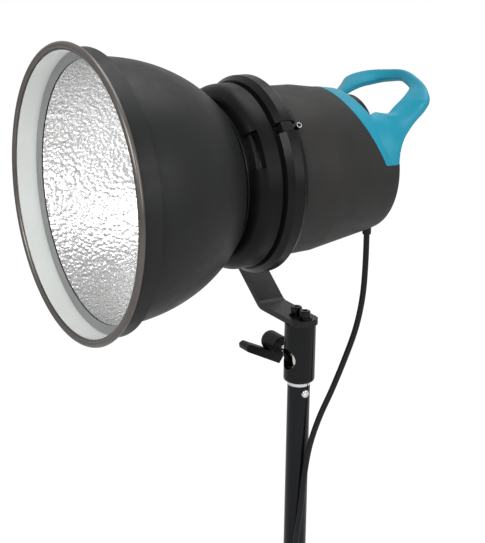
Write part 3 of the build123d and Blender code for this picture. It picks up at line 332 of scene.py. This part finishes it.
def skin_over(work, rings):
    """Closed skin over a row of equal rings of points, capped at both ends."""
    loops = [[work.verts.new(point) for point in ring] for ring in rings]
    for first, second in zip(loops, loops[1:]):
        wall(work, first, second)
    work.faces.new(list(reversed(loops[0])))
    work.faces.new(loops[-1])


def tube_mesh(name, path, radius, sides=14):
    """Round tube along a list of points, its section carried without twist."""
    rings = []
    side = (path[1] - path[0]).normalized().orthogonal().normalized()
    for index, point in enumerate(path):
        before = path[max(index - 1, 0)]
        after = path[min(index + 1, len(path) - 1)]
        forward = (after - before).normalized()
        side = (side - forward * side.dot(forward)).normalized()
        up = forward.cross(side)
        angles = [tau * k / sides for k in range(sides)]
        rings.append([point + (side * cos(angle) + up * sin(angle)) * radius for angle in angles])
    work = bmesh.new()
    skin_over(work, rings)
    return finished(work, name, TUBE_SHARP)


def between(a, b, c, d, t):
    """Catmull-Rom point between b and c."""
    return 0.5 * (2 * b + (c - a) * t + (2 * a - 5 * b + 4 * c - d) * t * t
                  + (3 * b - a - 3 * c + d) * t ** 3)


def smooth_path(points, spacing):
    """Catmull-Rom curve through the points, resampled at an even spacing."""
    dense = []
    ends = [points[0] * 2 - points[1], *points, points[-1] * 2 - points[-2]]
    for four in zip(ends, ends[1:], ends[2:], ends[3:]):
        for step in range(PATH_STEPS):
            dense.append(between(*four, step / PATH_STEPS))
    dense.append(points[-1])
    even = [dense[0]]
    carry = 0.0
    for first, second in zip(dense, dense[1:]):
        length = (second - first).length
        while length and carry + length >= spacing:
            share = (spacing - carry) / length
            first = first.lerp(second, share)
            length = (second - first).length
            even.append(first.copy())
            carry = 0.0
        carry += length
    if (even[-1] - dense[-1]).length > spacing * PATH_SHORTEST:
        even.append(dense[-1])
    else:
        even[-1] = dense[-1]
    return even


# ---------------------------------------------------------------- reflector
BEAD_RADIUS = 2.6
BEAD_SIDES = 20
BEAD_CENTRE = RIM_RADIUS / MM - BEAD_RADIUS
FRONT = RIM_FRONT / MM + BEAD_RADIUS
SHEET = 1.2
BAND_RADIUS = 107.9
BAND_END = FRONT + 17.5
BOWL_START = BAND_END + 1.5
BOWL_RADIUS = 100.4
BOWL_DEPTH = 118.5
BOWL_END_RADIUS = 66.0
BOWL_STEPS = 40
NECK_BORE = 51.0

# the sheet is made of skins, each with its own finish: the bowl's two as shares of half the sheet
OUTSIDE_SKIN = 0.7
INSIDE_SKIN = 0.6
# how far the plain inside skin lies behind the dimpled one, and how thick it is at the neck
BACKING_GAP = 0.1
BACKING_EDGE = 0.3
# the band's inside skin at the mouth, and how far it widens to each side at its inner end
BAND_SKIN = 0.5
BAND_FLARE = 0.3
STEP_SKIN = 0.4
# the flat web that carries the rolled bead, before and behind the band's front edge
WEB_FRONT = 0.5
WEB_REAR = 0.7

DIMPLE_SIZE = 3.4
DIMPLE_DEPTH = 0.35
DIMPLE_GRID = 1.1
DIMPLE_COLUMNS = 560
# rows over which the dimples fade in at the mouth and out at the neck
DIMPLE_FADE = 3


def bowl_points(depth, across, end_radius):
    """Elliptical profile from the mouth to the neck, as (y, radius) points."""
    end = asin(end_radius / across)
    angles = [pi / 2 + (end - pi / 2) * step / BOWL_STEPS for step in range(BOWL_STEPS + 1)]
    return [(BOWL_START + depth * cos(angle), across * sin(angle)) for angle in angles]


def dimpled_bowl(profile):
    """The bowl's inner skin with its small pressed dimples, from the mouth to the neck."""
    lengths = [0.0]
    for (y0, r0), (y1, r1) in zip(profile, profile[1:]):
        lengths.append(lengths[-1] + hypot(y1 - y0, r1 - r0))
    rows = int(lengths[-1] / DIMPLE_GRID)
    work = bmesh.new()
    rings = []
    here = 0
    for row in range(rows + 1):
        along = lengths[-1] * row / rows
        while here < len(profile) - 2 and lengths[here + 1] < along:
            here += 1
        share = (along - lengths[here]) / (lengths[here + 1] - lengths[here])
        (y0, r0), (y1, r1) = profile[here], profile[here + 1]
        y, radius = y0 + (y1 - y0) * share, r0 + (r1 - r0) * share
        run = hypot(y1 - y0, r1 - r0)
        out_y, out_r = (r0 - r1) / run, (y1 - y0) / run
        fade = min(1.0, row / DIMPLE_FADE, (rows - row) / DIMPLE_FADE)
        ring = []
        for column in range(DIMPLE_COLUMNS):
            angle = tau * column / DIMPLE_COLUMNS
            spot = Vector((radius * cos(angle), y, radius * sin(angle)))
            distances = cell_noise.voronoi(spot / DIMPLE_SIZE, distance_metric="DISTANCE")[0]
            sunk = DIMPLE_DEPTH * fade * min(1.0, distances[1] - distances[0])
            ring.append(work.verts.new(round_the_axis(y + out_y * sunk, radius + out_r * sunk, angle)))
        rings.append(ring[::-1])
    for first, second in zip(rings, rings[1:]):
        wall(work, first, second)
    bmesh.ops.recalc_face_normals(work, faces=work.faces)
    return finished(work, "reflector_dimples")


def reflector_piece(name, profile, material):
    return add_piece(name, lathe(name, profile), material, "reflector")


def build_bowl():
    half = SHEET / 2
    outer = bowl_points(BOWL_DEPTH, BOWL_RADIUS, BOWL_END_RADIUS)
    inner = bowl_points(BOWL_DEPTH - SHEET, BOWL_RADIUS - SHEET, BOWL_END_RADIUS - SHEET)
    rear = outer[-1][0]
    back = [(y - half * OUTSIDE_SKIN, r - half * OUTSIDE_SKIN) for y, r in reversed(outer)]
    outside = [(FRONT, BAND_RADIUS), (BAND_END, BAND_RADIUS), *outer,
               (rear + SHEET, BOWL_END_RADIUS - SHEET), (rear + SHEET, NECK_BORE),
               (rear + half, NECK_BORE), *back, (BAND_END, BAND_RADIUS - half),
               (FRONT, BAND_RADIUS - half)]
    reflector_piece("reflector_outside", outside, CHARCOAL)

    add_piece("reflector_dimples", dimpled_bowl(inner), SILVER, "reflector")
    neck = inner[-1][0]
    face = [(y + BACKING_GAP, r + BACKING_GAP) for y, r in inner]
    back = [(y + half * INSIDE_SKIN, r + half * INSIDE_SKIN) for y, r in reversed(inner)]
    inside = [*face, (neck, NECK_BORE), (neck + BACKING_EDGE, NECK_BORE), *back]
    reflector_piece("reflector_inside", inside, SILVER)


def build_rim():
    inner = BAND_RADIUS - SHEET
    end = BAND_END - SHEET
    band = [(FRONT, inner), (end, inner - BAND_FLARE), (end, inner + BAND_FLARE),
            (FRONT, inner + BAND_SKIN)]
    # the band's inside takes the pale colour that is a painted reflection
    reflector_piece("reflector_band_inside", band, PAINTED_BAND_REFLECTION)

    mouth = (BOWL_START - SHEET, BOWL_RADIUS - SHEET)
    step = [(end, inner - BAND_FLARE), mouth, (mouth[0] + STEP_SKIN, mouth[1] + STEP_SKIN),
            (end + STEP_SKIN, inner)]
    reflector_piece("reflector_step", step, STEP_GREY)

    angles = [tau * k / BEAD_SIDES for k in range(BEAD_SIDES)]
    bead = [(FRONT + BEAD_RADIUS * cos(angle), BEAD_CENTRE + BEAD_RADIUS * sin(angle))
            for angle in angles]
    reflector_piece("reflector_bead", bead, BEAD)

    web = [(FRONT - WEB_FRONT, inner), (FRONT - WEB_FRONT, BEAD_CENTRE),
           (FRONT + WEB_REAR, BEAD_CENTRE), (FRONT + WEB_REAR, inner)]
    rim_web = reflector_piece("reflector_rim_web", web, BEAD)
    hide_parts("reflector_shell")


build_bowl()
build_rim()


# ---------------------------------------------------------------- handle
# the body's outline as (y, radius) points, which the blue band follows
BODY_STATIONS = [(-60.9, 67.6), (-10.0, 66.2), (46.0, 57.2), (54.6, 55.4)]
HANDLE_BOTTOM = 8.0
SEAM_TOP_Y = 13.0
SEAM_TOP_Z = 64.0
SEAM_RUN = 0.46
SEAM_ROUNDS = 12
TRIM_WIDTH = 14.0
TRIM_STEPS = 120
TRIM_LIFT = 0.5
TRIM_SUNK = -2.5
# outer rear edge and inner front edge of the hoop's face, and its thickness, from root to middle
HOOP_STATIONS = [
    ((57.2, 52, 8), (57.8, 40.5, 8), 3.0),
    ((57.4, 52.6, 18), (52.5, 34, 27.5), 3.0),
    ((57.6, 55, 28), (42, 32, 42.5), 3.6),
    ((57.7, 60, 37), (35.2, 40, 47.5), 4.6),
    ((57.8, 66, 45.5), (38.8, 49.5, 46.4), 6.0),
    ((57.9, 71, 51.5), (36.8, 56, 50), 7.0),
    ((57.6, 74.3, 57), (34.5, 62.6, 53.5), 7.0),
    ((54.5, 77.8, 60.2), (32.5, 68, 56.2), 7.0),
    ((48, 81.6, 63.2), (29, 74, 58.6), 7.0),
    ((37, 85.6, 66.3), (22, 82, 60.6), 7.0),
    ((20, 89.5, 69), (12.5, 86, 61.5), 7.0),
    ((0, 91.6, 71.2), (0, 88.4, 62.5), 7.0),
]
HOOP_STEPS = 10
HOOP_SIDES = 28
# 1 gives an oval section, and smaller values a squarer one
HOOP_ROUNDNESS = 0.5
MERGE_GRID = 0.8
EASE_STRENGTH = 0.5
EASE_ROUNDS = 5


def body_radius(y):
    for (y0, r0), (y1, r1) in zip(BODY_STATIONS, BODY_STATIONS[1:]):
        if y <= y1:
            return r0 + (r1 - r0) * (y - y0) / (y1 - y0)
    return BODY_STATIONS[-1][1]


def seam_point(angle, behind, lift):
    """Point over the body's skin at an angle round the lamp's axis, behind the slanted seam."""
    y = SEAM_TOP_Y
    for _ in range(SEAM_ROUNDS):
        radius = body_radius(y) + lift
        y = SEAM_TOP_Y + SEAM_RUN * (SEAM_TOP_Z - radius * sin(angle)) + behind
    return round_the_axis(y, radius, angle)


def trim_rings():
    """Four-cornered sections of the band, from the right side over the top to the left."""
    start = HANDLE_BOTTOM / BODY_STATIONS[-1][1]
    corners = [(0, TRIM_LIFT), (TRIM_WIDTH, TRIM_LIFT), (TRIM_WIDTH, TRIM_SUNK), (0, TRIM_SUNK)]
    angles = [start + (pi - 2 * start) * step / TRIM_STEPS for step in range(TRIM_STEPS + 1)]
    return [[seam_point(angle, *corner) for corner in corners] for angle in angles]


def squared(value):
    return abs(value) ** HOOP_ROUNDNESS * (1 if value > 0 else -1)


def hoop_rings():
    """Rounded sections from the left root, over the top, to the right root."""
    right = [(Vector(outer), Vector(inner), Vector((thick, 0, 0)))
             for outer, inner, thick in HOOP_STATIONS]
    mirror = Vector((-1, 1, 1))
    row = [(outer * mirror, inner * mirror, thick) for outer, inner, thick in right] + right[-2::-1]
    row = [row[0], *row, row[-1]]
    dense = []
    for four in zip(row, row[1:], row[2:], row[3:]):
        for step in range(HOOP_STEPS):
            dense.append([between(*same, step / HOOP_STEPS) for same in zip(*four)])
    dense.append(list(row[-1]))
    angles = [tau * k / HOOP_SIDES for k in range(HOOP_SIDES)]
    rings = []
    for index, (outer, inner, thick) in enumerate(dense):
        before = dense[max(index - 1, 0)]
        after = dense[min(index + 1, len(dense) - 1)]
        ahead = after[0] + after[1] - before[0] - before[1]
        across = outer - inner
        facing = across.cross(ahead).normalized()
        centre = (outer + inner) / 2 + facing * thick.x / 2
        rings.append([at(*(centre + across * squared(cos(angle)) / 2
                           + facing * thick.x * squared(sin(angle)) / 2)) for angle in angles])
    return rings


def build_handle():
    work = bmesh.new()
    skin_over(work, hoop_rings())
    skin_over(work, trim_rings())
    bmesh.ops.recalc_face_normals(work, faces=work.faces)
    mesh = finished(work, "carry_handle")
    piece = add_piece("carry_handle", mesh, BLUE, "head")
    merged = piece.modifiers.new("one_moulding", "REMESH")
    merged.mode = "VOXEL"
    merged.voxel_size = MERGE_GRID * MM
    merged.use_smooth_shade = True
    eased = piece.modifiers.new("eased_edges", "SMOOTH")
    eased.factor = EASE_STRENGTH
    eased.iterations = EASE_ROUNDS
    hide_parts("handle")


build_handle()


# ---------------------------------------------------------------- pin behind the release pad
PIN_ANGLE = radians(40.3)
PIN_Y = -43.0
PIN_FOOT = 66.0
PIN_HEAD = 75.5
PIN_RADIUS = 1.9
PIN_SIDES = 24
PIN_RIM_STEPS = 32
PIN_RIM_WIRE = 0.3
PIN_RIM_SIDES = 10


def build_gap_pin():
    """Black pin with a bright rolled rim, at the end of the ring band's gap."""
    out = Vector((cos(PIN_ANGLE), 0, sin(PIN_ANGLE)))
    along = Vector((0, 1, 0))
    side = out.cross(along)
    foot = Vector((0, PIN_Y, 0))
    shank = [at(*(foot + out * height)) for height in (PIN_FOOT, PIN_HEAD)]
    pin = tube_mesh("gap_pin", shank, PIN_RADIUS * MM, PIN_SIDES)
    add_piece("gap_pin", pin, KNOB, "head")
    angles = [tau * step / PIN_RIM_STEPS for step in range(PIN_RIM_STEPS + 1)]
    circle = [at(*(foot + out * PIN_HEAD + (along * cos(angle) + side * sin(angle)) * PIN_RADIUS))
              for angle in angles]
    rim = tube_mesh("gap_pin_rim", circle, PIN_RIM_WIRE * MM, PIN_RIM_SIDES)
    add_piece("gap_pin_rim", rim, CHROME, "head")


build_gap_pin()


# ---------------------------------------------------------------- power cord
CORD_RADIUS = 2.5
CORD_SPACING = 3.5
# the hanging stretch's chosen points, in millimetres from the post's and the lamp's axes
CORD_ROUTE = [(18, 50.2, -48), (18, 50.2, -84), (18.6, 48, -112), (18.4, 42.5, -138),
              (17.9, 33, -163), (17.2, 22, -188), (16.2, 10.5, -212), (14.4, 3.2, -236),
              (12.9, -0.3, -262), (12.9, -3, -290), (15.5, -8, -316), (21, -14.5, -338),
              (28, -20, -358), (33, -22.2, -374)]
COIL_CENTRE = middle("cord_coil")
COIL_PITCH = 5.3
COIL_MIDDLE = 29.0
COIL_TURNS = 9
COIL_COLUMNS = 3
COIL_STEPS = 24
# a turn stays in its place for the first share of its round and crosses over in the second
COIL_STAY = 0.7
COIL_CROSS = 0.3
# the last steps of the innermost turn make way for the tail, which comes forward into the plug
COIL_LEFT_OFF = 3
CORD_TAIL = [(21.6, -6.9, 9.5), (22.6, -10.6, 0.5), (19.6, -15.2, -9.5)]
PLUG_ENTRY = 2


def turn_place(turn):
    """Layer and column of a turn of the coil, the middle layer being wound back."""
    layer, column = divmod(min(turn, COIL_TURNS - 1), COIL_COLUMNS)
    return layer, COIL_COLUMNS - 1 - column if layer % 2 else column


def coil_points():
    """Nine turns, three layers of three, wound clockwise from the outside in."""
    points = []
    for index in range(COIL_TURNS * COIL_STEPS + 1):
        turn = min(index // COIL_STEPS, COIL_TURNS - 1)
        layer, column = turn_place(turn)
        next_layer, next_column = turn_place(turn + 1)
        part = index / COIL_STEPS - turn
        blend = max(0.0, (part - COIL_STAY) / COIL_CROSS)
        blend = blend * blend * (3 - 2 * blend)
        radius = COIL_MIDDLE + COIL_PITCH * (1 - layer - (next_layer - layer) * blend)
        across = COIL_PITCH * (1 - column - (next_column - column) * blend)
        angle = -tau * index / COIL_STEPS
        spot = Vector((radius * cos(angle), across, radius * sin(angle)))
        points.append(COIL_CENTRE + spot * MM)
    return points


def cord_path():
    """From the gland down beside the post, round the coil and into the plug."""
    hanging = [at(*point) for point in CORD_ROUTE]
    coil = coil_points()[:-COIL_LEFT_OFF]
    tail = [COIL_CENTRE + Vector(step) * MM for step in CORD_TAIL]
    plug = middle("mains_plug")
    plug_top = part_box("mains_plug")[1].z
    tail.append(Vector((plug.x, plug.y, plug_top - PLUG_ENTRY * MM)))
    return smooth_path(hanging + coil + tail, CORD_SPACING * MM)


def build_cord():
    path = cord_path()
    mesh = tube_mesh("power_cord_run", path, CORD_RADIUS * MM)
    mesh.materials.append(RUBBER)
    piece = in_scene("power_cord_run", mesh)
    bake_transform(piece)
    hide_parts("power_cord", "cord_coil")


build_cord()


# ---------------------------------------------------------------- floor and surroundings
FLOOR_HALF = 12.0
FLOOR_GREY = 0.86
FLOOR_ROUGHNESS = 0.9
# to the camera the floor is mostly a plain glow, and the rest of it still takes the shadow
FLOOR_GLOW = 1.12
FLOOR_GLOW_SHARE = 0.85
# the world's strength as a light, as the backdrop, and how far reflections see the backdrop
WORLD_LIGHT = 0.35
WORLD_BACKDROP = 1.0
WORLD_IN_GLOSS = 0.45


def maths(tree, operation):
    node = tree.nodes.new("ShaderNodeMath")
    node.operation = operation
    return node


def build_floor():
    material, tree, shader = new_material("white_floor")
    shader.inputs["Base Color"].default_value = (FLOOR_GREY, FLOOR_GREY, FLOOR_GREY, 1.0)
    shader.inputs["Roughness"].default_value = FLOOR_ROUGHNESS
    glow = tree.nodes.new("ShaderNodeEmission")
    glow.inputs["Strength"].default_value = FLOOR_GLOW
    rays = tree.nodes.new("ShaderNodeLightPath")
    share = maths(tree, "MULTIPLY")
    share.inputs[1].default_value = FLOOR_GLOW_SHARE
    mix = tree.nodes.new("ShaderNodeMixShader")
    link(tree, rays.outputs["Is Camera Ray"], share.inputs[0])
    link(tree, share.outputs[0], mix.inputs["Fac"])
    link(tree, shader.outputs["BSDF"], mix.inputs[1])
    link(tree, glow.outputs["Emission"], mix.inputs[2])
    link(tree, mix.outputs["Shader"], tree.nodes["Material Output"].inputs["Surface"])
    mesh = bpy.data.meshes.new("floor")
    corners = [(FLOOR_HALF * x, FLOOR_HALF * y, 0) for x, y in ((-1, -1), (1, -1), (1, 1), (-1, 1))]
    mesh.from_pydata(corners, [], [(0, 1, 2, 3)])
    mesh.materials.append(material)
    floor = in_scene("floor", mesh)


def build_world():
    world = bpy.data.worlds.new("studio")
    world.use_nodes = True
    tree = world.node_tree
    background = tree.nodes["Background"]
    background.inputs["Color"].default_value = (1, 1, 1, 1)
    rays = tree.nodes.new("ShaderNodeLightPath")
    seen = maths(tree, "MAXIMUM")
    strength = tree.nodes.new("ShaderNodeMapRange")
    strength.inputs["To Min"].default_value = WORLD_LIGHT
    strength.inputs["To Max"].default_value = WORLD_BACKDROP
    shine = maths(tree, "MULTIPLY_ADD")
    shine.inputs[1].default_value = WORLD_IN_GLOSS
    shine.use_clamp = True
    link(tree, rays.outputs["Is Camera Ray"], seen.inputs[0])
    link(tree, rays.outputs["Is Transmission Ray"], seen.inputs[1])
    link(tree, rays.outputs["Is Glossy Ray"], shine.inputs[0])
    link(tree, seen.outputs[0], shine.inputs[2])
    link(tree, shine.outputs[0], strength.inputs["Value"])
    link(tree, strength.outputs["Result"], background.inputs["Strength"])
    bpy.context.scene.world = world


# ---------------------------------------------------------------- camera and lights
CAMERA_PLACE = Vector((1.0267, -0.6659, AXIS_Z + 0.2932))
CAMERA_YAW = radians(-59.286)
CAMERA_PITCH = radians(17.321)
CAMERA_ROLL = radians(0.842)
CAMERA_LENS = 104.48
CAMERA_REACH = 60.0
# name, place, the point it is turned to, width and height, and power
AREA_LIGHTS = [
    ("key_light", (1.3, -1.6, 2.0), (0, -0.1, AXIS_Z), (1.2, 1.2), 26),
    ("side_light", (2.0, 0.8, 1.3), (0, 0, AXIS_Z), (1.0, 1.4), 12),
    ("top_light", (-0.4, 0.6, 2.2), (0, 0, AXIS_Z), (1.4, 1.4), 14),
]
DISH_GLOW_POWER = 0.07
DISH_GLOW_RADIUS = 0.02
DISH_GLOW_Y = -140


def build_camera():
    level = cos(CAMERA_PITCH)
    forward = Vector((level * sin(CAMERA_YAW), level * cos(CAMERA_YAW), -sin(CAMERA_PITCH)))
    level_right = forward.cross(Vector((0, 0, 1))).normalized()
    level_up = level_right.cross(forward)
    right = level_right * cos(CAMERA_ROLL) + level_up * sin(CAMERA_ROLL)
    up = right.cross(forward)
    turned = Matrix((right, up, -forward)).transposed().to_4x4()
    camera = bpy.data.cameras.new("camera")
    camera.lens = CAMERA_LENS
    camera.clip_end = CAMERA_REACH
    holder = in_scene("camera", camera)
    holder.matrix_world = Matrix.Translation(CAMERA_PLACE) @ turned
    bpy.context.scene.camera = holder


def area_light(name, place, target, size, power):
    lamp = bpy.data.lights.new(name, "AREA")
    lamp.shape = "RECTANGLE"
    lamp.size, lamp.size_y = size
    lamp.energy = power
    holder = in_scene(name, lamp)
    holder.location = place
    aim = Vector(target) - Vector(place)
    holder.rotation_euler = aim.to_track_quat("-Z", "Y").to_euler()


def dish_glow():
    """The modelling lamp's light on the dish, from just in front of its glass."""
    lamp = bpy.data.lights.new("dish_glow", "POINT")
    lamp.energy = DISH_GLOW_POWER
    lamp.shadow_soft_size = DISH_GLOW_RADIUS
    in_scene("dish_glow", lamp).location = at(0, DISH_GLOW_Y, 0)


build_floor()
build_world()
build_camera()
for area in AREA_LIGHTS:
    area_light(*area)
dish_glow()

bpy.context.scene.view_settings.view_transform = "Standard"
